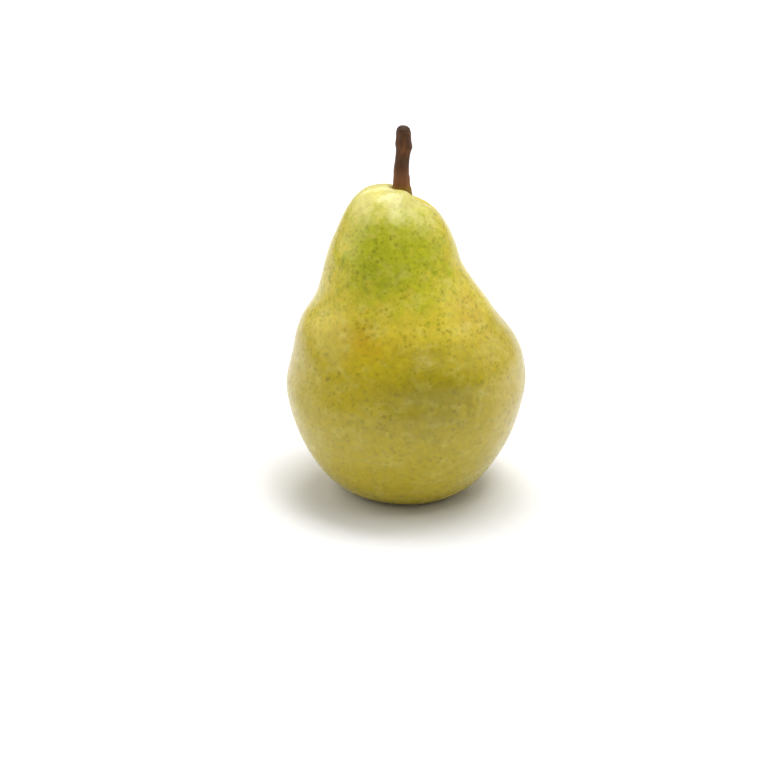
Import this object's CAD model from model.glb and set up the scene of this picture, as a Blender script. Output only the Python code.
# %% [markdown]
# # A fresh pear, standing on a white table
#
# A pear looks simple, and that is what makes it a good lesson: there is no edge or joint to catch the
# eye, so everything rests on the outline, on how the form departs from a perfect turned shape, and on the
# skin. We make the fruit, then its woody stem, then the dried flower in the hollow underneath, each with
# its own finish first, and at the end the table, the light and the camera.
#
# The solid model of the pear is loaded first. It fixes where everything is. Each piece that we make here
# is a finer version of one of its nodes, in the same place.

import math
import random

import bmesh
import bpy
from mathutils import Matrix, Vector, noise


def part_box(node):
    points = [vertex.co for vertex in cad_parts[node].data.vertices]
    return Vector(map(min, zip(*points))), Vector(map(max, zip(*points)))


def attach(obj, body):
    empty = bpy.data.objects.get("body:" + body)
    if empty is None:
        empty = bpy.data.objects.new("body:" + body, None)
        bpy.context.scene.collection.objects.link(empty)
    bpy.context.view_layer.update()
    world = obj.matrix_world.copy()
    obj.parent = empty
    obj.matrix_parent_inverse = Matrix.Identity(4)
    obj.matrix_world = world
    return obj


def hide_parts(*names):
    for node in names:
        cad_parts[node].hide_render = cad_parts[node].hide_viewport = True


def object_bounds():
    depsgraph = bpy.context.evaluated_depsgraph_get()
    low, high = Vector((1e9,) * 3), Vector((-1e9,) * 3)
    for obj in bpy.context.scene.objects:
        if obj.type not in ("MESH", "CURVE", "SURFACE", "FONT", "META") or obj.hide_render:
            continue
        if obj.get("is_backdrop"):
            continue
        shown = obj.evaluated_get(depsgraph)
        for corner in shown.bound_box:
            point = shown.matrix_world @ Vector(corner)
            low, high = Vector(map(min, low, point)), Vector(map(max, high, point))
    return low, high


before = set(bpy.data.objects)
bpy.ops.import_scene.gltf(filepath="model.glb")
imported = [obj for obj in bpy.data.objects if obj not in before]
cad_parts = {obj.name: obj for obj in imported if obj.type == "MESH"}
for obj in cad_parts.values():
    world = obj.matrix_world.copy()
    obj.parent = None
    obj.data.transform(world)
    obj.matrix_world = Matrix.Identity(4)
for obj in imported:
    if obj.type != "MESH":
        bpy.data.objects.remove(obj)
cad_low, cad_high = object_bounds()
MM = 0.001
cad_size = [round(side / MM, 1) for side in cad_high - cad_low]
print("solid model:", sorted(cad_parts), "size in mm:", cad_size)

# %% [markdown]
# ## Tools for grown shapes
#
# A grown thing is never a plain turned one, but a turned one is the right start: it is closed, its faces
# run evenly round it, and its outline can be drawn with a few knots. So every piece here is made in two
# moves. First an outline is spun round the Z axis. Then its points are moved by a rule: pushed out of
# round, leaned, or bent along a route.
#
# The curve through the knots is a Catmull-Rom curve. It passes through each knot, which makes an outline
# easy to draw. `eased` reads a value off a short list of stops, such as a radius at shares of a length.

# %% Curves and values between stops
def smooth_through(knots, spacing):
    """Points about this far apart on a curve that passes smoothly through the knots."""
    knots = [Vector(knot) for knot in knots]
    ends = [2 * knots[0] - knots[1], *knots, 2 * knots[-1] - knots[-2]]
    points = [knots[0].copy()]
    for before, start, end, after in zip(ends, ends[1:], ends[2:], ends[3:]):
        steps = max(1, round((end - start).length / spacing))
        for step in range(1, steps + 1):
            t = step / steps
            linear = (end - before) * t
            square = (2 * before - 5 * start + 4 * end - after) * t**2
            cube = (3 * start - before - 3 * end + after) * t**3
            points.append(0.5 * (2 * start + linear + square + cube))
    return points


def eased(stops, at):
    """The value at this place of a list of (place, value) stops, easing from each to the next."""
    if at <= stops[0][0]:
        return stops[0][1]
    for (low, first), (high, second) in zip(stops, stops[1:]):
        if at <= high:
            t = (at - low) / (high - low)
            return first + (second - first) * t * t * (3 - 2 * t)
    return stops[-1][1]


def bell(distance, width):
    return math.exp(-((distance / width) ** 2))


print("halfway up an eased step:", eased([(0, 0.0), (1, 1.0)], 0.5))

# %% [markdown]
# `turned` is the lathe. The spin needs `use_merge`, which closes the last side onto the first one, and
# then the points that lie on the axis are merged into one pole at each end. Normals are recalculated
# while the body is still plain and convex, where Blender can't be mistaken about which side is out.

# %% The lathe
def turned(outline, sides):
    """A bmesh of the outline, as (radius, height) points, spun once round the Z axis."""
    bm = bmesh.new()
    line = [bm.verts.new((radius, 0, height)) for radius, height in outline]
    edges = [bm.edges.new(pair) for pair in zip(line, line[1:])]
    bmesh.ops.spin(
        bm,
        geom=line + edges,
        axis=(0, 0, 1),
        cent=(0, 0, 0),
        steps=sides,
        angle=math.tau,
        use_merge=True,
    )
    bmesh.ops.remove_doubles(bm, verts=bm.verts, dist=0.002 * MM)
    bmesh.ops.recalc_face_normals(bm, faces=bm.faces)
    return bm


def finish_piece(name, bm, node, finish):
    """Makes this bmesh a named object that rides on the pear and stands for one node of the solid model."""
    mesh = bpy.data.meshes.new(name)
    bm.to_mesh(mesh)
    bm.free()
    mesh.shade_smooth()
    mesh.materials.append(finish)
    piece = bpy.data.objects.new(name, mesh)
    bpy.context.scene.collection.objects.link(piece)
    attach(piece, "root")
    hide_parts(node)
    print(name, "has", len(mesh.vertices), "points, and stands for", node)


# %% [markdown]
# A stem and a sepal are bodies that follow a curve. `bend_along` takes a straight body that stands on the
# origin and lays it along a route. At each height it finds the place on the route and the direction
# there, and carries the body's cross-section to it.

# %% Bending a body along a route
def route_length(route):
    return sum((end - start).length for start, end in zip(route, route[1:]))


def bend_along(bm, route, across):
    """Moves a body that stands on the origin along a route; its own X axis keeps to `across`."""
    lengths = [0.0]
    for start, end in zip(route, route[1:]):
        lengths.append(lengths[-1] + (end - start).length)
    for vert in bm.verts:
        height = min(vert.co.z, lengths[-1])
        step = next(place for place in range(1, len(route)) if height <= lengths[place] + 1e-9)
        start, end = route[step - 1], route[step]
        share = (height - lengths[step - 1]) / (lengths[step] - lengths[step - 1])
        before = route[max(step - 2, 0)]
        after = route[min(step + 1, len(route) - 1)]
        along = (end - before).normalized().lerp((after - start).normalized(), share)
        through = along.cross(across).normalized()
        vert.co = start.lerp(end, share) + across * vert.co.x + through * vert.co.y


def rod_outline(radii, length, spacing):
    """The outline of a closed rod that stands on the origin, with this radius at shares of its length."""
    steps = round(length / spacing)
    sides = [(eased(radii, step / steps), length * step / steps) for step in range(steps + 1)]
    return [(0.0, 0.0), *sides, (0.0, length)]


# %% [markdown]
# ## Small helpers for finishes
#
# Every finish here is made of the same few ideas: clouds of colour, spots, streaks and a gradient from
# bottom to top. Textures read Object coordinates, so a pattern is as large on the pear as it is on the
# real one. The first helper scales them to millimetres, and then a cloud of size 14 is a cloud 14 mm
# wide.

# %% Node helpers: places, sums and mixes
def start_finish(name):
    """A new material: (material, node tree, its Principled shader, place on the piece in millimetres)."""
    material = bpy.data.materials.new(name)
    material.use_nodes = True
    tree = material.node_tree
    shader = tree.nodes["Principled BSDF"]
    place = tree.nodes.new("ShaderNodeTexCoord").outputs["Object"]
    return material, tree, shader, scaled(tree, place, (1 / MM, 1 / MM, 1 / MM))


def feed(tree, socket, value):
    """Sets a socket to a number or colour, or links an output to it."""
    if isinstance(value, bpy.types.NodeSocket):
        tree.links.new(value, socket)
    else:
        socket.default_value = value


def scaled(tree, place, factors):
    multiply = tree.nodes.new("ShaderNodeVectorMath")
    multiply.operation = "MULTIPLY"
    feed(tree, multiply.inputs[0], place)
    feed(tree, multiply.inputs[1], factors)
    return multiply.outputs[0]


def shifted(tree, place, by):
    add = tree.nodes.new("ShaderNodeVectorMath")
    add.operation = "ADD"
    feed(tree, add.inputs[0], place)
    feed(tree, add.inputs[1], by)
    return add.outputs[0]


def calculated(tree, operation, first, second=0.0):
    sum_node = tree.nodes.new("ShaderNodeMath")
    sum_node.operation = operation
    feed(tree, sum_node.inputs[0], first)
    feed(tree, sum_node.inputs[1], second)
    return sum_node.outputs[0]


def rescaled(tree, value, old_range, new_range=(0.0, 1.0)):
    """Maps one range smoothly onto another, and holds the value at the ends outside it."""
    change = tree.nodes.new("ShaderNodeMapRange")
    change.interpolation_type = "SMOOTHSTEP"
    feed(tree, change.inputs["Value"], value)
    names = ("From Min", "From Max", "To Min", "To Max")
    for name, number in zip(names, (*old_range, *new_range)):
        feed(tree, change.inputs[name], number)
    return change.outputs["Result"]


# The Mix node has sockets named A and B for each kind of value, so its colour sockets go by number.
MIX_FIRST_COLOUR = 6
MIX_SECOND_COLOUR = 7
MIX_COLOUR_RESULT = 2


def mixed(tree, factor, first, second, way="MIX"):
    """One colour laid over another."""
    mix = tree.nodes.new("ShaderNodeMix")
    mix.data_type = "RGBA"
    mix.blend_type = way
    feed(tree, mix.inputs["Factor"], factor)
    feed(tree, mix.inputs[MIX_FIRST_COLOUR], first)
    feed(tree, mix.inputs[MIX_SECOND_COLOUR], second)
    return mix.outputs[MIX_COLOUR_RESULT]


# %% [markdown]
# Colours are easiest to choose as the numbers that a paint program shows, from 0 to 255, but a shader
# wants linear light. `paint` turns the one into the other. `clouds` is a noise texture with its size in
# millimetres, and `spots` is a Voronoi texture: each cell has one spot at its middle, and the cell's own
# random colour decides how large the spot is. As the cells fill space and the skin cuts through them,
# some spots are cut near their middle and some only grazed, which gives the mix of sizes that real skin
# has.

# %% Node helpers: colours, clouds and spots
def in_linear_light(share):
    """The sRGB curve undone: a channel from 0 to 1 as the light it stands for."""
    if share <= 0.04045:
        return share / 12.92
    return ((share + 0.055) / 1.055) ** 2.4


def paint(red, green, blue):
    """A shader colour from a paint program's three numbers."""
    return (*(in_linear_light(value / 255) for value in (red, green, blue)), 1.0)


def clouds(tree, place, size, detail=2.0, roughness=0.5, seed=0.0, stretch=(1.0, 1.0, 1.0)):
    """Soft noise from 0 to 1, with clouds about this many millimetres wide."""
    texture = tree.nodes.new("ShaderNodeTexNoise")
    moved = shifted(tree, scaled(tree, place, tuple(1 / (size * side) for side in stretch)), (seed,) * 3)
    feed(tree, texture.inputs["Vector"], moved)
    texture.inputs["Scale"].default_value = 1.0
    texture.inputs["Detail"].default_value = detail
    texture.inputs["Roughness"].default_value = roughness
    return texture.outputs["Fac"]


def spots(tree, place, spacing, smallest, largest, seed=0.0, softness=0.35):
    """Spots, 1 in the middle and 0 outside, in cells this far apart, with radii in this range (all mm)."""
    texture = tree.nodes.new("ShaderNodeTexVoronoi")
    moved = shifted(tree, scaled(tree, place, (1 / spacing,) * 3), (seed,) * 3)
    feed(tree, texture.inputs["Vector"], moved)
    texture.inputs["Scale"].default_value = 1.0
    apart = tree.nodes.new("ShaderNodeSeparateColor")
    feed(tree, apart.inputs[0], texture.outputs["Color"])
    radius = rescaled(tree, apart.outputs[0], (0.0, 1.0), (smallest / spacing, largest / spacing))
    inner = calculated(tree, "MULTIPLY", radius, 1 - softness)
    return rescaled(tree, texture.outputs["Distance"], (inner, radius), (1.0, 0.0))


def height_above_table(tree, place):
    apart = tree.nodes.new("ShaderNodeSeparateXYZ")
    feed(tree, apart.inputs[0], place)
    return apart.outputs["Z"]


def distance_from(tree, place, middle, factors):
    """How far a place is from a middle, with each direction counted by its own factor."""
    length = tree.nodes.new("ShaderNodeVectorMath")
    length.operation = "LENGTH"
    offset = shifted(tree, place, tuple(-value for value in middle))
    feed(tree, length.inputs[0], scaled(tree, offset, factors))
    return length.outputs["Value"]


def ramp(tree, value, stops):
    """A colour ramp through (place from 0 to 1, colour) stops."""
    node = tree.nodes.new("ShaderNodeValToRGB")
    feed(tree, node.inputs[0], value)
    node.color_ramp.interpolation = "EASE"
    elements = node.color_ramp.elements
    while len(elements) < len(stops):
        elements.new(0.5)
    for element, (at, colour) in zip(elements, stops):
        element.position = at
        element.color = colour
    return node.outputs["Color"]


def add_bumps(tree, shader, layers):
    """Lays bump maps over each other, each given as (height from 0 to 1, depth in millimetres)."""
    normal = None
    for height, depth in layers:
        bump = tree.nodes.new("ShaderNodeBump")
        bump.inputs["Strength"].default_value = 1.0
        bump.inputs["Distance"].default_value = depth * MM
        feed(tree, bump.inputs["Height"], height)
        if normal:
            feed(tree, bump.inputs["Normal"], normal)
        normal = bump.outputs["Normal"]
    feed(tree, shader.inputs["Normal"], normal)


print("a leaf green in linear light:", [round(value, 3) for value in paint(120, 160, 60)])

# %% [markdown]
# ## The skin
#
# Ripe yellow-green skin is not one colour. The body turns gold first, the neck stays paler, and the
# border between them is uneven. So the main colour is a ramp from the table to the stem, and the height
# that it reads is first pushed up and down by large clouds.
#
# Some colour belongs to one place. The parts of the neck that grew in the shade of a leaf are green, and
# there are golden and olive stretches on the shoulder and the belly. Each of these is a patch, with a
# middle and a reach. A cloud is added to the distance from its middle, which frays its edge. Small green
# mottles gather on the neck, and short pale streaks lie over everything.
#
# The dots are lenticels, the pores that the fruit breathes through: under a millimetre wide and one to
# three apart. A pore is a little darker and browner than the skin round it, whatever colour that skin is,
# so the dots are multiplied onto it as a tint instead of painted over it. Each has a faint greener ring.
# Near the stem and in the hollow at the flower end, the skin is russeted: a thin brown cork, broken into
# flecks.

# %% The skin's colours
GREEN = paint(186, 188, 22)
DEEP_GREEN = paint(152, 160, 2)
YELLOW = paint(210, 190, 50)
PALE_YELLOW = paint(216, 206, 116)
GOLD = paint(184, 164, 10)
WARM_GOLD = paint(188, 150, 6)
OLIVE = paint(154, 138, 0)
TAN = paint(204, 182, 84)
RUSSET = paint(140, 104, 52)
PORE_TINT = (0.62, 0.60, 0.04, 1.0)

# Each patch: its colour, how strong it is, its middle and how far it reaches (x, y and z in millimetres).
PATCHES = [
    (GREEN, 0.90, (-3, -17, 76), (19, 18, 15)),
    (DEEP_GREEN, 0.35, (-9, -17, 78), (10, 12, 8)),
    (DEEP_GREEN, 0.30, (6, -17, 80), (9, 10, 6)),
    (DEEP_GREEN, 0.35, (-10, -20, 69), (9, 10, 5)),
    (GREEN, 0.65, (5, 17, 72), (13, 14, 12)),
    (WARM_GOLD, 0.60, (-13, -28, 55), (10, 10, 5)),
    (WARM_GOLD, 0.50, (20, -18, 60), (8, 10, 7)),
    (WARM_GOLD, 0.45, (19, 26, 50), (12, 12, 8)),
    (OLIVE, 0.70, (8, -33, 42), (17, 14, 14)),
    (OLIVE, 0.50, (-14, 28, 36), (14, 14, 12)),
    (TAN, 0.70, (28, -16, 34), (10, 12, 18)),
    (TAN, 0.55, (-29, -4, 40), (9, 14, 16)),
]
print(len(PATCHES), "patches of colour")

# %% The skin's colour without its pores
# Heights above the table, and how far the clouds push them, in millimetres.
RAMP_HEIGHT = 100.0
RAMP_PUSH = 26.0
NECK_BEGINS = (50.0, 74.0)
MOTTLES_END = (80.0, 89.0)

# How far a cloud moves a patch's edge, and where the patch fades: both as shares of its reach.
PATCH_FRAY = 2.6
PATCH_EDGE = (0.25, 1.35)


def centred_clouds(tree, cloud, width):
    """Clouds that run from minus half this width to half of it."""
    return calculated(tree, "MULTIPLY", calculated(tree, "SUBTRACT", cloud, 0.5), width)


def skin_colour(tree, place):
    """A warped ramp up the fruit, with ragged patches, green mottles and pale streaks over it."""
    height = height_above_table(tree, place)
    push = centred_clouds(tree, clouds(tree, place, size=17, detail=3), RAMP_PUSH)
    pushed_height = calculated(tree, "ADD", height, push)
    colour = ramp(tree, calculated(tree, "DIVIDE", pushed_height, RAMP_HEIGHT), [
        (0.50, GOLD),
        (0.60, YELLOW),
        (0.80, YELLOW),
        (0.90, PALE_YELLOW),
    ])

    fray_clouds = clouds(tree, place, size=4.5, detail=5, roughness=0.7, seed=7.0)
    fray = centred_clouds(tree, fray_clouds, PATCH_FRAY)
    for patch_colour, strength, middle, reach in PATCHES:
        away = distance_from(tree, place, middle, tuple(1 / side for side in reach))
        inside = rescaled(tree, calculated(tree, "ADD", away, fray), PATCH_EDGE, (strength, 0.0))
        colour = mixed(tree, inside, colour, patch_colour)

    mottle_clouds = clouds(tree, place, size=2.6, detail=4, roughness=0.65, seed=12.0)
    mottles = rescaled(tree, mottle_clouds, (0.50, 0.68), (0.0, 0.75))
    on_neck = rescaled(tree, pushed_height, NECK_BEGINS, (0.15, 1.0))
    below_top = rescaled(tree, height, MOTTLES_END, (1.0, 0.0))
    mottles = calculated(tree, "MULTIPLY", mottles, calculated(tree, "MULTIPLY", on_neck, below_top))
    colour = mixed(tree, mottles, colour, DEEP_GREEN)

    streak_clouds = clouds(tree, place, size=3.2, detail=3, roughness=0.6, seed=15.0, stretch=(1.6, 1.6, 1))
    streaks = rescaled(tree, streak_clouds, (0.48, 0.75), (0.0, 0.35))
    return mixed(tree, streaks, colour, PALE_YELLOW)


print("the ramp runs over", round(RAMP_HEIGHT), "of", round((cad_high.z - cad_low.z) / MM), "mm")

# %% The pores
PORES_FADE = (82.0, 89.0)
FINE_PORES = {"spacing": 1.35, "smallest": 0.40, "largest": 0.80, "seed": 2.0, "softness": 0.88}
COARSE_PORES = {"spacing": 2.7, "smallest": 0.50, "largest": 1.05, "seed": 9.0, "softness": 0.82}
PORE_RINGS = {"spacing": 1.35, "smallest": 0.60, "largest": 1.00, "seed": 2.0, "softness": 0.95}
RING_STRENGTH = 0.25


def lay_pores(tree, place, colour):
    """Dots the lenticels over a colour; returns the colour and where the dots are."""
    fine = spots(tree, place, **FINE_PORES)
    coarse = spots(tree, place, **COARSE_PORES)
    rings = spots(tree, place, **PORE_RINGS)
    dots = calculated(tree, "MAXIMUM", fine, coarse)
    strength = rescaled(tree, clouds(tree, place, size=8, detail=1, seed=5.0), (0.3, 0.7), (0.45, 0.95))
    below_top = rescaled(tree, height_above_table(tree, place), PORES_FADE, (1.0, 0.2))
    strength = calculated(tree, "MULTIPLY", strength, below_top)
    colour = mixed(tree, calculated(tree, "MULTIPLY", rings, RING_STRENGTH), colour, GREEN)
    tinted = mixed(tree, calculated(tree, "MULTIPLY", dots, strength), colour, PORE_TINT, "MULTIPLY")
    return tinted, dots


print("pores:", FINE_PORES["spacing"], "and", COARSE_PORES["spacing"], "mm apart")

# %% [markdown]
# Russet is found by distance from two upright lines, the fruit's axis in the hollow and the stem above,
# so the height is left out of those distances with a factor of 0. The skin itself is waxy: fairly smooth,
# with a soft glow from light that enters the flesh and comes out a millimetre or two away.

# %% The skin's finish
STEM_X = -1.4 * MM
SIDEWAYS = (1, 1, 0)

# Distances and heights in millimetres over which the russet fades.
HOLLOW_RUSSET_REACH = (5.0, 13.0)
HOLLOW_RUSSET_TOP = (6.0, 10.0)
STEM_RUSSET_REACH = (3.0, 4.2)
STEM_RUSSET_FOOT = (80.0, 85.0)


def find_russet(tree, place):
    """Where the skin is corky, from 0 to 1."""
    height = height_above_table(tree, place)
    from_axis = distance_from(tree, place, (0, 0, 0), SIDEWAYS)
    in_hollow = calculated(
        tree,
        "MULTIPLY",
        rescaled(tree, from_axis, HOLLOW_RUSSET_REACH, (1.0, 0.0)),
        rescaled(tree, height, HOLLOW_RUSSET_TOP, (1.0, 0.0)),
    )
    from_stem = distance_from(tree, place, (STEM_X / MM, 0, 0), SIDEWAYS)
    near_stem = calculated(
        tree,
        "MULTIPLY",
        rescaled(tree, from_stem, STEM_RUSSET_REACH, (0.7, 0.0)),
        rescaled(tree, height, STEM_RUSSET_FOOT),
    )
    fleck_clouds = clouds(tree, place, size=1.1, detail=4, roughness=0.7, seed=4.0)
    flecks = rescaled(tree, fleck_clouds, (0.42, 0.62))
    return calculated(tree, "MULTIPLY", calculated(tree, "MAXIMUM", near_stem, in_hollow), flecks)


def make_skin():
    material, tree, shader, place = start_finish("pear_skin")
    colour, dots = lay_pores(tree, place, skin_colour(tree, place))
    corky = find_russet(tree, place)
    colour = mixed(tree, calculated(tree, "MULTIPLY", corky, 0.8), colour, RUSSET)

    shade_clouds = clouds(tree, place, size=1.6, detail=3, roughness=0.6, seed=1.0)
    shaded = tree.nodes.new("ShaderNodeVectorMath")
    shaded.operation = "SCALE"
    feed(tree, shaded.inputs[0], colour)
    feed(tree, shaded.inputs["Scale"], rescaled(tree, shade_clouds, (0.3, 0.7), (0.90, 1.06)))
    feed(tree, shader.inputs["Base Color"], shaded.outputs[0])

    gloss = rescaled(tree, clouds(tree, place, size=5, detail=3, seed=6.0), (0.3, 0.7), (0.21, 0.30))
    dulled = calculated(tree, "MAXIMUM", gloss, calculated(tree, "MULTIPLY", corky, 0.75))
    feed(tree, shader.inputs["Roughness"], dulled)
    shader.inputs["IOR"].default_value = 1.5
    shader.inputs["Subsurface Weight"].default_value = 0.2
    shader.inputs["Subsurface Radius"].default_value = (1.0, 0.8, 0.2)
    shader.inputs["Subsurface Scale"].default_value = 3 * MM

    add_bumps(tree, shader, [
        (clouds(tree, place, size=4.0, detail=2, seed=8.0), 0.12),
        (clouds(tree, place, size=0.7, detail=2, seed=1.5), 0.015),
        (dots, 0.02),
        (corky, 0.05),
    ])
    return material


pear_skin = make_skin()
print("skin:", len(pear_skin.node_tree.nodes), "nodes")

# %% [markdown]
# ## The fruit
#
# The body is wide and low, the neck is thick and leans to one side, and the top is oblique: on one side
# of the stem the flesh stands higher. The outline is given in three parts, from the middle of the hollow
# underneath, over the rim that the pear stands on, up to the stem. Its numbers are shares of the radius
# and the height, so the same outline makes a larger or a smaller pear.
#
# Unlike the solid model, where pieces keep a small gap, the flesh here closes round the stem in a soft
# lip.

# %% The fruit's outline
FRUIT_RADIUS = 35.0 * MM
FRUIT_HEIGHT = 92.0 * MM
FRUIT_SIDES = 208
RING_SPACING = 0.8 * MM

HOLLOW_OUTLINE = [
    (0.00, 0.077),
    (0.05, 0.077),
    (0.115, 0.076),
    (0.18, 0.064),
    (0.235, 0.04),
    (0.29, 0.016),
    (0.345, 0.0),
    (0.40, -0.004),
]
BODY_OUTLINE = [
    (0.40, -0.004),
    (0.50, 0.008),
    (0.64, 0.045),
    (0.775, 0.11),
    (0.91, 0.21),
    (1.00, 0.34),
    (0.98, 0.425),
    (0.92, 0.50),
    (0.80, 0.58),
    (0.68, 0.66),
    (0.58, 0.74),
    (0.51, 0.82),
    (0.43, 0.885),
    (0.345, 0.932),
    (0.245, 0.967),
    (0.165, 0.984),
]
LIP_OUTLINE = [
    (0.165, 0.984),
    (0.12, 0.990),
    (0.094, 0.991),
    (0.078, 0.986),
    (0.062, 0.970),
    (0.00, 0.966),
]


def fruit_outline():
    hollow, body, lip = (
        [(radius * FRUIT_RADIUS, height * FRUIT_HEIGHT) for radius, height in part]
        for part in (HOLLOW_OUTLINE, BODY_OUTLINE, LIP_OUTLINE)
    )
    points = smooth_through(hollow, RING_SPACING)
    points += smooth_through(body, RING_SPACING)[1:]
    return points + smooth_through(lip, 0.5 * RING_SPACING)[1:]


print("rings from the hollow to the stem:", len(fruit_outline()))

# %% [markdown]
# Now the ways in which this pear departs from the turned one. `LEAN` shifts the axis sideways as it
# climbs. `SWELLINGS` are soft bumps and hollows in the sides, each given by the direction it faces, its
# height and its spread: the low shoulder round the foot of the neck is made of them. `TOP_SLOPE` makes
# the top oblique: one side of it slopes down, the other stays level, and the change between them is
# softened so that no crease shows. `TOP_RISES` then lift the top or press it down in a few round places
# beside the stem.
#
# The rim below is drawn into five low feet, one for each chamber of the core, and what would sink into
# the table is levelled to it, which leaves the small flat spot that the pear stands on.

# %% The fruit's growth
LEAN = [
    (0.30, 0.0 * MM),
    (0.45, 0.5 * MM),
    (0.60, -1.8 * MM),
    (0.78, -3.7 * MM),
    (0.90, -3.5 * MM),
]
SOCKET_REACH = [(4.5 * MM, 1.0), (10.0 * MM, 0.0)]
UPPER_HALF = 0.5
TOP_SLOPE = -0.32
TOP_SLOPE_REACH = [(0.84, 0.0), (1.00, 1.0)]
TOP_SLOPE_SOFTNESS = 4.0 * MM

# Each rise: where it is (x and y), its height (negative for a hollow) and its width.
TOP_RISES = [
    (5.0 * MM, 2.0 * MM, -3.9 * MM, 5.5 * MM),
    (0.4 * MM, -4.4 * MM, 1.0 * MM, 3.0 * MM),
    (-11.0 * MM, 1.5 * MM, -0.4 * MM, 4.0 * MM),
]

# Each swelling: its direction in degrees, its height, how far it stands out, and how wide and tall it is.
SWELLINGS = [
    (180, 0.56, 0.3 * MM, 30, 0.05),
    (180, 0.65, -0.4 * MM, 35, 0.06),
    (-35, 0.56, 1.0 * MM, 35, 0.06),
    (-75, 0.50, 0.9 * MM, 30, 0.05),
    (-110, 0.62, -0.8 * MM, 30, 0.07),
    (60, 0.60, 0.9 * MM, 40, 0.07),
    (130, 0.50, -0.7 * MM, 35, 0.08),
    (-130, 0.30, 0.5 * MM, 35, 0.12),
    (100, 0.25, 0.6 * MM, 40, 0.10),
]
SWELLINGS_FADE = 10.0 * MM
FLOWER_PARTS = 5
FOOT_DEPTH = 0.25 * MM
FOOT_RADIUS = 14.0 * MM
FOOT_WIDTH = 4.5 * MM


def grown(point):
    """Where a point of the turned fruit lies once the fruit has its swellings, its lean and its feet."""
    radius = math.hypot(point.x, point.y)
    turn = math.atan2(point.y, point.x)
    share = point.z / FRUIT_HEIGHT
    push = 0.0
    for degrees, height, amount, wide, tall in SWELLINGS:
        away = math.remainder(turn - math.radians(degrees), math.tau)
        push += amount * bell(away, math.radians(wide)) * bell(share - height, tall)
    radius += push * min(1.0, radius / SWELLINGS_FADE)
    x = radius * math.cos(turn)
    y = radius * math.sin(turn)
    downhill = 0.5 * (x - math.hypot(x, TOP_SLOPE_SOFTNESS))
    z = point.z + TOP_SLOPE * downhill * eased(TOP_SLOPE_REACH, share)
    z -= FOOT_DEPTH * math.cos(FLOWER_PARTS * turn) * bell(radius - FOOT_RADIUS, FOOT_WIDTH)
    shift = eased(LEAN, share)
    if share > UPPER_HALF:
        shift += (STEM_X - shift) * eased(SOCKET_REACH, radius)
        for at_x, at_y, rise, wide in TOP_RISES:
            z += rise * bell(math.hypot(x - at_x, y - at_y), wide)
    return Vector((x + shift, y, z))


moved = grown(Vector((10 * MM, 0, 85 * MM)))
print("a point at the top of the neck moves to", [round(value / MM, 1) for value in moved])

# %% [markdown]
# Last comes what the hand feels: the skin is slightly uneven, in waves a centimetre or two long, with
# smaller ones on them. The noise is pushed along each point's normal, and it dies away near the table,
# where the foot has to stay flat. In the hollow, the skin is drawn into short pleats that run out from
# the dried flower. In front of the stem, the lip of the socket stands up in one small bump.

# %% Uneven skin, pleats and the fruit itself
WAVES = [(21 * MM, 0.24 * MM), (8.5 * MM, 0.08 * MM), (3.2 * MM, 0.02 * MM)]
WAVES_FADE = 3 * MM
PLEATS = 15
PLEAT_DEPTH = 0.28 * MM
PLEAT_RADIUS = 6.0 * MM
PLEAT_WIDTH = 3.0 * MM
PLEAT_WOBBLE = 1.5
PLEAT_WOBBLE_SEED = 0.4
HOLLOW_PART = 0.1
LIP_PART = 0.9
LIP_BUMP = Vector((0.3 * MM, -3.2 * MM))
LIP_BUMP_HEIGHT = 0.35 * MM
LIP_BUMP_WIDTH = 1.6 * MM


def unevenness(point):
    return sum(depth * noise.noise(point / size) for size, depth in WAVES)


def build_fruit(finish):
    bm = turned(fruit_outline(), FRUIT_SIDES)
    for vert in bm.verts:
        vert.co = grown(vert.co)
    bm.normal_update()
    for vert in bm.verts:
        radius = math.hypot(vert.co.x, vert.co.y)
        turn = math.atan2(vert.co.y, vert.co.x)
        share = vert.co.z / FRUIT_HEIGHT
        off_table = min(1.0, max(0.0, vert.co.z / WAVES_FADE))
        vert.co += vert.normal * unevenness(vert.co) * off_table
        if share < HOLLOW_PART and radius < 2 * PLEAT_RADIUS:
            around = Vector((2 * math.cos(turn), 2 * math.sin(turn), PLEAT_WOBBLE_SEED))
            pleat = math.cos(PLEATS * turn + PLEAT_WOBBLE * noise.noise(around))
            vert.co.z += PLEAT_DEPTH * pleat * bell(radius - PLEAT_RADIUS, PLEAT_WIDTH)
        if share > LIP_PART:
            vert.co.z += LIP_BUMP_HEIGHT * bell((vert.co.xy - LIP_BUMP).length, LIP_BUMP_WIDTH)
        vert.co.z = max(vert.co.z, 0.0)
    finish_piece("pear_fruit", bm, "fruit", finish)


build_fruit(pear_skin)
fruit_low, fruit_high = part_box("fruit")
print("the solid fruit is", [round(side / MM, 1) for side in fruit_high - fruit_low], "mm")

# %% [markdown]
# ## The stem's bark
#
# A pear's stem is wood with a thin dark bark. It shrinks as it dries, so it is wrinkled along its length,
# and it has a few pale pores. Towards the fruit the bark turns reddish, and then olive where it becomes
# skin. The tip, where it broke off the twig, is the darkest.

# %% The bark's finish
BARK = paint(92, 56, 22)
DARK_BARK = paint(60, 36, 14)
RED_BARK = paint(138, 84, 42)
OLIVE_BARK = paint(136, 104, 26)
SCAR = paint(146, 116, 84)

# Where each band fades out and where it is full, in millimetres from the stem's foot or from its tip.
RED_BAND = (12.0, 5.0)
OLIVE_BAND = (5.4, 3.6)
TIP_BAND = (2.2, 0.4)


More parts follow.
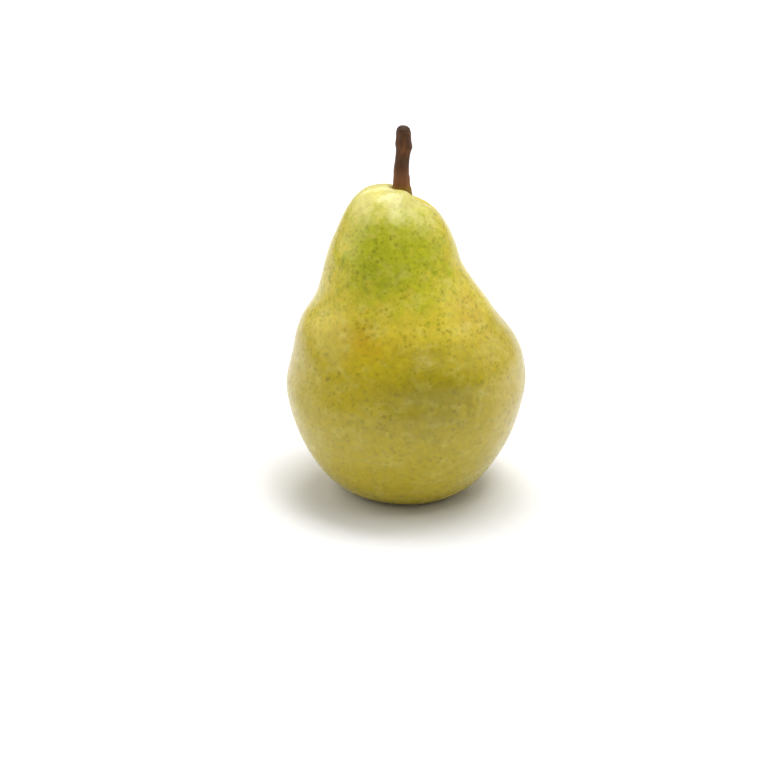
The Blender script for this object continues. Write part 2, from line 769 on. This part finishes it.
def make_bark(low, high):
    """The bark of a stem that stands from this height to this one, in millimetres."""
    material, tree, shader, place = start_finish("stem_bark")
    height = height_above_table(tree, place)
    red_band = tuple(low + up for up in RED_BAND)
    olive_band = tuple(low + up for up in OLIVE_BAND)
    tip_band = tuple(high - down for down in TIP_BAND)
    streaks = clouds(tree, place, size=0.55, detail=3, roughness=0.6, stretch=(1, 1, 9), seed=2.0)
    blotches = clouds(tree, place, size=2.2, detail=3, roughness=0.6, stretch=(1, 1, 2.2), seed=5.0)
    colour = mixed(tree, rescaled(tree, streaks, (0.35, 0.65), (0.0, 0.7)), BARK, DARK_BARK)
    colour = mixed(tree, rescaled(tree, blotches, (0.5, 0.7), (0.0, 0.6)), colour, RED_BARK)
    colour = mixed(tree, rescaled(tree, height, red_band, (0.0, 0.75)), colour, RED_BARK)
    colour = mixed(tree, rescaled(tree, height, olive_band, (0.0, 0.85)), colour, OLIVE_BARK)
    colour = mixed(tree, rescaled(tree, height, tip_band, (0.0, 0.8)), colour, DARK_BARK)
    pores = spots(tree, place, spacing=2.3, smallest=0.05, largest=0.30, seed=1.0)
    colour = mixed(tree, calculated(tree, "MULTIPLY", pores, 0.55), colour, SCAR)
    feed(tree, shader.inputs["Base Color"], colour)
    feed(tree, shader.inputs["Roughness"], rescaled(tree, blotches, (0.3, 0.7), (0.48, 0.7)))
    shader.inputs["Specular IOR Level"].default_value = 0.3
    add_bumps(tree, shader, [
        (streaks, 0.12),
        (clouds(tree, place, size=0.35, detail=3, roughness=0.7, seed=8.0), 0.03),
        (pores, 0.04),
    ])
    return material


stem_low, stem_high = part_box("stem")
stem_bark = make_bark(stem_low.z / MM, stem_high.z / MM)
print("bark:", len(stem_bark.node_tree.nodes), "nodes, up to", round(stem_high.z / MM), "mm")

# %% [markdown]
# ## The stem
#
# The stem is a rod bent along a slight S. It is swollen where it joins the fruit, thinner in the middle,
# and swells again near the tip. Three blunt ridges twist round it, fine wrinkles follow its length, and
# three knots stand out where bud scales once sat.

# %% The stem's shape
STEM_ROUTE = [
    (STEM_X, 0.0, 88.2 * MM),
    (STEM_X, 0.0, 92.0 * MM),
    (-1.3 * MM, -0.1 * MM, 97.0 * MM),
    (-0.7 * MM, 0.0, 103.5 * MM),
    (-1.0 * MM, 0.4 * MM, 109.8 * MM),
]
STEM_RADIUS = [
    (0.00, 2.4 * MM),
    (0.07, 3.0 * MM),
    (0.14, 2.75 * MM),
    (0.22, 2.4 * MM),
    (0.36, 2.15 * MM),
    (0.55, 2.05 * MM),
    (0.76, 2.2 * MM),
    (0.90, 2.1 * MM),
    (0.955, 1.85 * MM),
    (0.985, 1.35 * MM),
    (1.00, 0.75 * MM),
]
STEM_SIDES = 72
STEM_RING_SPACING = 0.14 * MM
STEM_RIDGES = 3
STEM_RIDGE_DEPTH = 0.05
STEM_TWIST = math.radians(100)
WRINKLE_WIDTH = 0.5 * MM
WRINKLE_LENGTH = 4.5 * MM
WRINKLE_DEPTH = 0.13 * MM
WRINKLE_FADE = 1.5 * MM
COARSE_WRINKLES = 0.4
ON_AXIS = 0.01 * MM

# Each knot: how far up the stem it is, its direction in degrees and how far it stands out.
KNOTS = [(0.30, 40, 0.30 * MM), (0.71, 10, 0.35 * MM), (0.76, 190, 0.25 * MM)]
KNOT_HEIGHT = 0.05
KNOT_WIDTH = math.radians(40)


def wrinkled(point, length):
    """How far the bark stands out at this point of the straight stem."""
    share = point.z / length
    turn = math.atan2(point.y, point.x)
    fine = Vector((point.x / WRINKLE_WIDTH, point.y / WRINKLE_WIDTH, point.z / WRINKLE_LENGTH))
    out = WRINKLE_DEPTH * (noise.noise(fine) + noise.noise(fine * COARSE_WRINKLES))
    for at, degrees, height in KNOTS:
        away = math.remainder(turn - math.radians(degrees), math.tau)
        out += height * bell(share - at, KNOT_HEIGHT) * bell(away, KNOT_WIDTH)
    return out


def build_stem(finish):
    route = smooth_through(STEM_ROUTE, 1.0 * MM)
    length = route_length(route)
    bm = turned(rod_outline(STEM_RADIUS, length, STEM_RING_SPACING), STEM_SIDES)
    for vert in bm.verts:
        radius = math.hypot(vert.co.x, vert.co.y)
        if radius < ON_AXIS:
            continue
        turn = math.atan2(vert.co.y, vert.co.x) + STEM_TWIST * vert.co.z / length
        ridge = 1 + STEM_RIDGE_DEPTH * math.cos(STEM_RIDGES * turn)
        stretch = ridge + wrinkled(vert.co, length) / radius * min(1.0, radius / WRINKLE_FADE)
        vert.co.x *= stretch
        vert.co.y *= stretch
    bend_along(bm, route, Vector((1, 0, 0)))
    finish_piece("woody_stem", bm, "stem", finish)


build_stem(stem_bark)

# %% [markdown]
# ## The dried flower
#
# The fruit grew behind its flower, and what is left of the flower sits in the hollow the pear stands on.
# It can't be seen while the pear stands, but it is the first thing one sees when it is picked up. There
# is a little dried cup, five sepals round it, and inside it a tuft of stamens.
#
# All of it is dry and brown, like thin dead leaves. A sepal's ribs run from its foot to its tip,
# whichever way the blade turns, so the ribs can't be drawn in Object coordinates. Each blade carries two
# attributes of its own instead: how far along it a point is, and how far across.

# %% The finish of dried sepals and of the cup
SEPAL_BROWN = paint(96, 66, 40)
SEPAL_DARK = paint(48, 32, 22)
SEPAL_EDGE = paint(150, 118, 76)
SEPAL_RIBS = 7


def make_sepal_finish():
    material, tree, shader, place = start_finish("dried_sepal")
    along = tree.nodes.new("ShaderNodeAttribute")
    along.attribute_name = "along"
    across = tree.nodes.new("ShaderNodeAttribute")
    across.attribute_name = "across"
    blotches = clouds(tree, place, size=1.3, detail=4, roughness=0.65, seed=3.0)
    colour = mixed(tree, rescaled(tree, blotches, (0.35, 0.65)), SEPAL_BROWN, SEPAL_DARK)
    rib_turns = calculated(tree, "MULTIPLY", across.outputs["Fac"], SEPAL_RIBS * math.pi)
    ribs = rescaled(tree, calculated(tree, "SINE", rib_turns), (-1.0, 1.0))
    colour = mixed(tree, calculated(tree, "MULTIPLY", ribs, 0.4), colour, SEPAL_EDGE)
    colour = mixed(tree, rescaled(tree, along.outputs["Fac"], (0.6, 1.0), (0.0, 0.7)), colour, SEPAL_DARK)
    feed(tree, shader.inputs["Base Color"], colour)
    feed(tree, shader.inputs["Roughness"], rescaled(tree, blotches, (0.3, 0.7), (0.72, 0.92)))
    add_bumps(tree, shader, [
        (ribs, 0.08),
        (clouds(tree, place, size=0.3, detail=3, roughness=0.7, seed=6.0), 0.05),
    ])
    return material


dried_sepal = make_sepal_finish()
print("sepal finish:", len(dried_sepal.node_tree.nodes), "nodes")

# %% [markdown]
# The cup is a small dish that opens downwards. Its wall has dried into ten folds, two for each sepal, and
# its edge is torn.

# %% The dried cup
CUP_OUTLINE = [
    (0.0, 7.1 * MM),
    (2.6 * MM, 7.05 * MM),
    (3.3 * MM, 6.6 * MM),
    (3.5 * MM, 5.8 * MM),
    (3.45 * MM, 5.2 * MM),
    (3.2 * MM, 5.0 * MM),
    (3.0 * MM, 5.3 * MM),
    (2.6 * MM, 5.9 * MM),
    (2.0 * MM, 6.2 * MM),
    (0.0, 6.25 * MM),
]
CUP_SIDES = 80
CUP_FOLDS = 2 * FLOWER_PARTS
CUP_FOLD_DEPTH = 0.05
CUP_TEAR = 0.5 * MM
CUP_TEARS = 3
CUP_CRUMPLE = 0.05 * MM
CUP_CRUMPLE_SIZE = 0.5 * MM


def build_cup(finish):
    bm = turned(smooth_through(CUP_OUTLINE, 0.22 * MM), CUP_SIDES)
    low = min(vert.co.z for vert in bm.verts)
    high = max(vert.co.z for vert in bm.verts)
    for vert in bm.verts:
        turn = math.atan2(vert.co.y, vert.co.x)
        near_edge = (high - vert.co.z) / (high - low)
        fold = 1 + CUP_FOLD_DEPTH * near_edge * math.cos(CUP_FOLDS * turn)
        vert.co.x *= fold
        vert.co.y *= fold
        around = Vector((CUP_TEARS * math.cos(turn), CUP_TEARS * math.sin(turn), 0))
        vert.co.z += CUP_TEAR * near_edge**3 * noise.noise(around)
        vert.co.z += CUP_CRUMPLE * noise.noise(vert.co / CUP_CRUMPLE_SIZE)
    finish_piece("dried_cup", bm, "calyx_cup", finish)


build_cup(dried_sepal)

# %% [markdown]
# Each sepal starts as a rod, flattened to a blade, hollowed across and bent along a route that hangs from
# beside the cup and curls outwards. No two dry alike, so each gets its own curl, length and twist from a
# seeded random number generator, which gives the same pear every time the script runs.

# %% The sepals
SEPAL_ROUTE = [
    (3.75 * MM, 6.5 * MM),
    (4.4 * MM, 5.0 * MM),
    (5.3 * MM, 3.7 * MM),
    (6.6 * MM, 2.7 * MM),
    (8.0 * MM, 2.3 * MM),
]
SEPAL_WIDEST = 1.7 * MM
SEPAL_HALF_WIDTH = [
    (0.00, 1.3 * MM),
    (0.15, SEPAL_WIDEST),
    (0.40, 1.5 * MM),
    (0.80, 0.7 * MM),
    (0.97, 0.2 * MM),
    (1.00, 0.05 * MM),
]
SEPAL_THINNESS = 0.14
SEPAL_HOLLOW = 0.30
SEPAL_SIDES = 28
SEPAL_RING_SPACING = 0.16 * MM
SEPAL_EDGE_WAVES = 2.5
SEPAL_RUFFLE = 0.16 * MM
SEPAL_CRUMPLE = 0.07 * MM

# The ranges that each sepal's own curl, length and twist are drawn from.
SEPAL_CURLS = (-0.6, 0.6)
SEPAL_REACHES = (0.94, 1.04)
SEPAL_TWISTS = (-0.5, 0.5)


def sepal_route(turn, rng):
    outwards = Vector((math.cos(turn), math.sin(turn), 0))
    curl = rng.uniform(*SEPAL_CURLS) * MM
    reach = rng.uniform(*SEPAL_REACHES)
    knots = list(SEPAL_ROUTE)
    knots[-1] = (knots[-1][0] * reach, knots[-1][1] + curl)
    return [
        outwards * distance + Vector((0, 0, height))
        for distance, height in smooth_through(knots, 0.5 * MM)
    ]


def build_sepal(number, rng, finish):
    turn = math.tau * (number - 0.5) / FLOWER_PARTS
    across = Vector((-math.sin(turn), math.cos(turn), 0))
    route = sepal_route(turn, rng)
    length = route_length(route)
    bm = turned(rod_outline(SEPAL_HALF_WIDTH, length, SEPAL_RING_SPACING), SEPAL_SIDES)
    along_layer = bm.verts.layers.float.new("along")
    across_layer = bm.verts.layers.float.new("across")
    phase = rng.uniform(0, math.tau)
    twist = rng.uniform(*SEPAL_TWISTS)
    for vert in bm.verts:
        share = vert.co.z / length
        side = vert.co.x / SEPAL_WIDEST
        vert[along_layer] = share
        vert[across_layer] = side
        ruffle = SEPAL_RUFFLE * side * math.sin(SEPAL_EDGE_WAVES * math.tau * share + phase)
        crumple = SEPAL_CRUMPLE * noise.noise(Vector((side * 2, share * 5, number)))
        sunk = SEPAL_HOLLOW * vert.co.x**2 / SEPAL_WIDEST
        turned_over = twist * share**2 * vert.co.x
        vert.co.y = SEPAL_THINNESS * vert.co.y - sunk + ruffle + crumple + turned_over
    bend_along(bm, route, across)
    finish_piece(f"dried_sepal_{number}", bm, f"sepal_{number}", finish)


sepal_rng = random.Random(11)
for sepal_number in range(1, FLOWER_PARTS + 1):
    build_sepal(sepal_number, sepal_rng, dried_sepal)

# %% [markdown]
# A pear flower has about twenty stamens in rings and five styles in the middle. Dried, they are crooked
# threads, and the stamens still carry the husks of their anthers. Each is a thin rod with a swollen end,
# bent along its own wandering route, and all of them grow from one small button.

# %% The finish of the stamens
STAMEN_BROWN = paint(84, 56, 36)
STAMEN_TAN = paint(146, 112, 70)


def make_stamen_finish():
    material, tree, shader, place = start_finish("dried_stamen")
    patches = clouds(tree, place, size=0.8, detail=3, roughness=0.6, seed=2.0)
    colour = mixed(tree, rescaled(tree, patches, (0.4, 0.6)), STAMEN_BROWN, STAMEN_TAN)
    feed(tree, shader.inputs["Base Color"], colour)
    feed(tree, shader.inputs["Roughness"], rescaled(tree, patches, (0.3, 0.7), (0.75, 0.95)))
    add_bumps(tree, shader, [(clouds(tree, place, size=0.2, detail=2, seed=1.0), 0.03)])
    return material


dried_stamen = make_stamen_finish()
print("stamen finish:", len(dried_stamen.node_tree.nodes), "nodes")

# %% The stamens and styles
BUTTON_OUTLINE = [
    (0.0, 6.2 * MM),
    (1.3 * MM, 6.15 * MM),
    (1.75 * MM, 5.9 * MM),
    (1.4 * MM, 5.6 * MM),
    (0.0, 5.5 * MM),
]
BUTTON_SIDES = 24
STAMEN_RADIUS = [(0.0, 0.10 * MM), (0.75, 0.07 * MM), (0.88, 0.17 * MM), (0.97, 0.15 * MM), (1.0, 0.03 * MM)]
STYLE_RADIUS = [(0.0, 0.14 * MM), (0.85, 0.10 * MM), (0.95, 0.16 * MM), (1.0, 0.05 * MM)]

# Each ring: how many threads, how far from the middle, how long they are, and their radii.
STAMEN_RINGS = [
    (5, 0.35 * MM, 2.9 * MM, STYLE_RADIUS),
    (8, 0.95 * MM, 2.6 * MM, STAMEN_RADIUS),
    (12, 1.4 * MM, 2.3 * MM, STAMEN_RADIUS),
]
THREAD_TOP = 5.7 * MM
THREAD_SIDES = 7
THREAD_RING_SPACING = 0.16 * MM
THREAD_WANDER = 0.45 * MM
THREAD_LEANS = (0.15, 0.75)
THREAD_LENGTHS = (0.8, 1.1)
THREAD_SPREADS = (-0.25, 0.25)


def add_thread(bm, foot, length, radii, rng):
    """Adds one crooked thread to the tuft, hanging from this point and leaning outwards."""
    lean = Vector((foot.x, foot.y, 0)) * rng.uniform(*THREAD_LEANS)
    knots = [foot]
    for share in (0.35, 0.7, 1.0):
        wander = Vector((rng.uniform(-1, 1), rng.uniform(-1, 1), 0)) * THREAD_WANDER * share
        knots.append(foot + lean * share + wander - Vector((0, 0, length * share)))
    route = smooth_through(knots, 0.3 * MM)
    thread = turned(rod_outline(radii, route_length(route), THREAD_RING_SPACING), THREAD_SIDES)
    bend_along(thread, route, Vector((1, 0, 0)))
    mesh = bpy.data.meshes.new("thread")
    thread.to_mesh(mesh)
    thread.free()
    bm.from_mesh(mesh)
    bpy.data.meshes.remove(mesh)


def build_tuft(finish):
    rng = random.Random(5)
    bm = turned(smooth_through(BUTTON_OUTLINE, 0.25 * MM), BUTTON_SIDES)
    for count, radius, length, radii in STAMEN_RINGS:
        for place in range(count):
            turn = math.tau * (place + rng.uniform(*THREAD_SPREADS)) / count
            foot = Vector((radius * math.cos(turn), radius * math.sin(turn), THREAD_TOP))
            add_thread(bm, foot, length * rng.uniform(*THREAD_LENGTHS), radii, rng)
    finish_piece("stamen_threads", bm, "stamen_tuft", finish)


build_tuft(dried_stamen)

# %% [markdown]
# ## The table, the light and the camera
#
# The pear stands on a seamless white table. The table is so large that its edges stay out of view, and it
# is matt, so that it takes a soft shadow and mirrors nothing.

# %% The white table
TABLE_WHITE = paint(236, 236, 237)
TABLE_PALEST = paint(239, 239, 240)
TABLE_REACH = 4.0


def make_table_finish():
    material, tree, shader, place = start_finish("white_table")
    grain = clouds(tree, place, size=3.0, detail=2)
    feed(tree, shader.inputs["Base Color"], mixed(tree, grain, TABLE_WHITE, TABLE_PALEST))
    shader.inputs["Roughness"].default_value = 0.9
    shader.inputs["Specular IOR Level"].default_value = 0.1
    return material


def build_table():
    bm = bmesh.new()
    bmesh.ops.create_grid(bm, x_segments=1, y_segments=1, size=TABLE_REACH)
    mesh = bpy.data.meshes.new("white_table")
    bm.to_mesh(mesh)
    bm.free()
    mesh.materials.append(make_table_finish())
    table = bpy.data.objects.new("white_table", mesh)
    bpy.context.scene.collection.objects.link(table)
    table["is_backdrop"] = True
    return table


white_table = build_table()
print("table:", [round(side, 1) for side in white_table.dimensions], "m")

# %% [markdown]
# The light is soft studio light. A large softbox hangs overhead and a little behind. It makes the soft
# pale window on the shoulder of the neck and leaves the front quieter. A smaller one, in front and to the
# right, makes the second, fainter window below it. Two wide panels stand at the sides and draw the pale
# bands down both edges. A fifth light shines on the table behind the pear, which would otherwise darken
# with distance. The sky is a dim even white, so that no shadow goes black.

# %% The lights
PEAR_MIDDLE = Vector((0, 0, 0.5 * fruit_high.z))
TABLE_BEHIND = Vector((0, 0.7, 0))
SKY_STRENGTH = 0.32


def add_softbox(name, place, width, height, watts, target=PEAR_MIDDLE):
    """A rectangular soft light that faces the target."""
    light = bpy.data.lights.new(name, "AREA")
    light.shape = "RECTANGLE"
    light.size = width
    light.size_y = height
    light.energy = watts
    softbox = bpy.data.objects.new(name, light)
    softbox.location = place
    softbox.rotation_euler = (target - Vector(place)).to_track_quat("-Z", "Y").to_euler()
    bpy.context.scene.collection.objects.link(softbox)


add_softbox("overhead_softbox", (0.10, 0.14, 1.1), 0.85, 0.5, 10.2)
add_softbox("front_softbox", (0.32, -0.4, 1.05), 0.5, 0.25, 1.9)
add_softbox("left_panel", (-0.85, 0.15, 0.65), 1.1, 1.0, 3.9)
add_softbox("right_panel", (0.85, 0.2, 0.7), 1.1, 1.0, 2.1)
add_softbox("table_softbox", (0.0, 1.25, 0.9), 1.8, 0.5, 6.0, target=TABLE_BEHIND)

sky = bpy.data.worlds.new("studio_sky")
sky.use_nodes = True
background = sky.node_tree.nodes["Background"]
background.inputs["Color"].default_value = (1.0, 1.0, 1.0, 1.0)
background.inputs["Strength"].default_value = SKY_STRENGTH
bpy.context.scene.world = sky
bpy.context.scene.view_settings.view_transform = "Standard"

# %% [markdown]
# The camera looks a little down, as one looks at fruit on a table, through a long lens that keeps the
# pear's proportions. It aims low and to one side, which leaves room in front of the pear.

# %% The camera
CAMERA_HEIGHT_ANGLE = math.radians(22)
CAMERA_DISTANCE = 0.628
LENS_MM = 100
SENSOR_MM = 36
AIM = Vector((-6.3 * MM, 0, 31.7 * MM))

lens = bpy.data.cameras.new("studio_camera")
lens.lens = LENS_MM
lens.sensor_width = SENSOR_MM
camera = bpy.data.objects.new("studio_camera", lens)
looking = Vector((0, math.cos(CAMERA_HEIGHT_ANGLE), -math.sin(CAMERA_HEIGHT_ANGLE)))
camera.location = AIM - looking * CAMERA_DISTANCE
camera.rotation_euler = looking.to_track_quat("-Z", "Y").to_euler()
bpy.context.scene.collection.objects.link(camera)
bpy.context.scene.camera = camera
print("camera at", [round(value, 3) for value in camera.location])

# %% [markdown]
# ## Check the size and finish
#
# The finer pieces must stay inside the box of the solid model, give or take a few percent. Both boxes are
# written down, so that they can be compared.

# %% Write the sizes and finish
visual_low, visual_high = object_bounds()
visual_size = [round(side / MM, 1) for side in visual_high - visual_low]
print("visual model:", visual_size, "mm; solid model:", cad_size)
